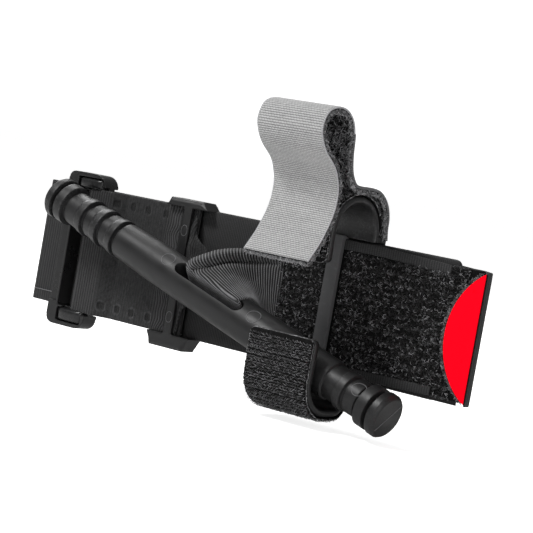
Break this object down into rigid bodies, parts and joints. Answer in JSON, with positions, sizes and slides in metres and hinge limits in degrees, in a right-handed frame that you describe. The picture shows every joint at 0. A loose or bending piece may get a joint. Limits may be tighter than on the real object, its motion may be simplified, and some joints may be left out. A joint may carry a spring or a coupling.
{
  "type": "windlass tourniquet",
  "caption": "Limb tourniquet stowed flat: black webbing with a plastic rod, clip, plate and buckle, a grey time strap and a red tip.",
  "frame": {"origin": "on the stowed band's back face, at the band's middle line, straight behind the middle of the windlass slot", "axes": "+X along the band from the buckle to the red tip, +Z across the band towards the time strap, -Y out of the band's front, where the windlass lies"},
  "size_m": [0.1689, 0.0405, 0.0843],
  "materials": {
    "moulded_nylon": "fine moulded texture",
    "webbing": "ribbed nylon webbing",
    "loop_pile": "napped loop pile",
    "hook_tape": "rows of small hooks",
    "time_strap_tape": "plain woven face",
    "red_tip_cloth": "smooth woven face"
  },
  "bodies": {
    "band": {"base_plate": "moulded_nylon", "windlass_clip": "moulded_nylon", "buckle_strap": "webbing", "sheath_rear_ply": "webbing", "sheath_pile_ply": "loop_pile", "stowed_band": "webbing", "windlass_strap_right": "webbing", "windlass_strap_left": "webbing", "hook_tape_upper": "hook_tape", "hook_tape_lower": "hook_tape", "time_strap_base": "time_strap_tape"},
    "windlass": {"windlass_rod": "moulded_nylon", "windlass_strap_loop": "webbing"},
    "buckle": {"buckle": "moulded_nylon"},
    "time_strap_riser": {"time_strap_riser": "time_strap_tape"},
    "time_strap_flap": {"time_strap_flap": "time_strap_tape"},
    "tip": {"tail_tip": "webbing", "red_tip": "red_tip_cloth"}
  },
  "joints": [
    {"name": "windlass_turn", "type": "hinge", "parent": "band", "child": "windlass", "pos_m": [0.0006, -0.0176, -0.00515], "axis": [0, -1, 0], "range_deg": [0, 41]},
    {"name": "buckle_swing", "type": "hinge", "parent": "band", "child": "buckle", "pos_m": [-0.0578, -0.0072, 0], "axis": [0, 0, 1], "range_deg": [-6, 3.5]},
    {"name": "time_strap_lift", "type": "hinge", "parent": "band", "child": "time_strap_riser", "pos_m": [0.035, -0.0196, 0.0342], "axis": [-1, 0, 0], "range_deg": [0, 100]},
    {"name": "time_strap_open", "type": "hinge", "parent": "time_strap_riser", "child": "time_strap_flap", "pos_m": [0.035, -0.0317, 0.0536], "axis": [-1, 0, 0], "range_deg": [0, 150]},
    {"name": "tip_peel", "type": "hinge", "parent": "band", "child": "tip", "pos_m": [0.08295, -0.00825, 0], "axis": [0, 0, 1], "range_deg": [0, 120]}
  ]
}
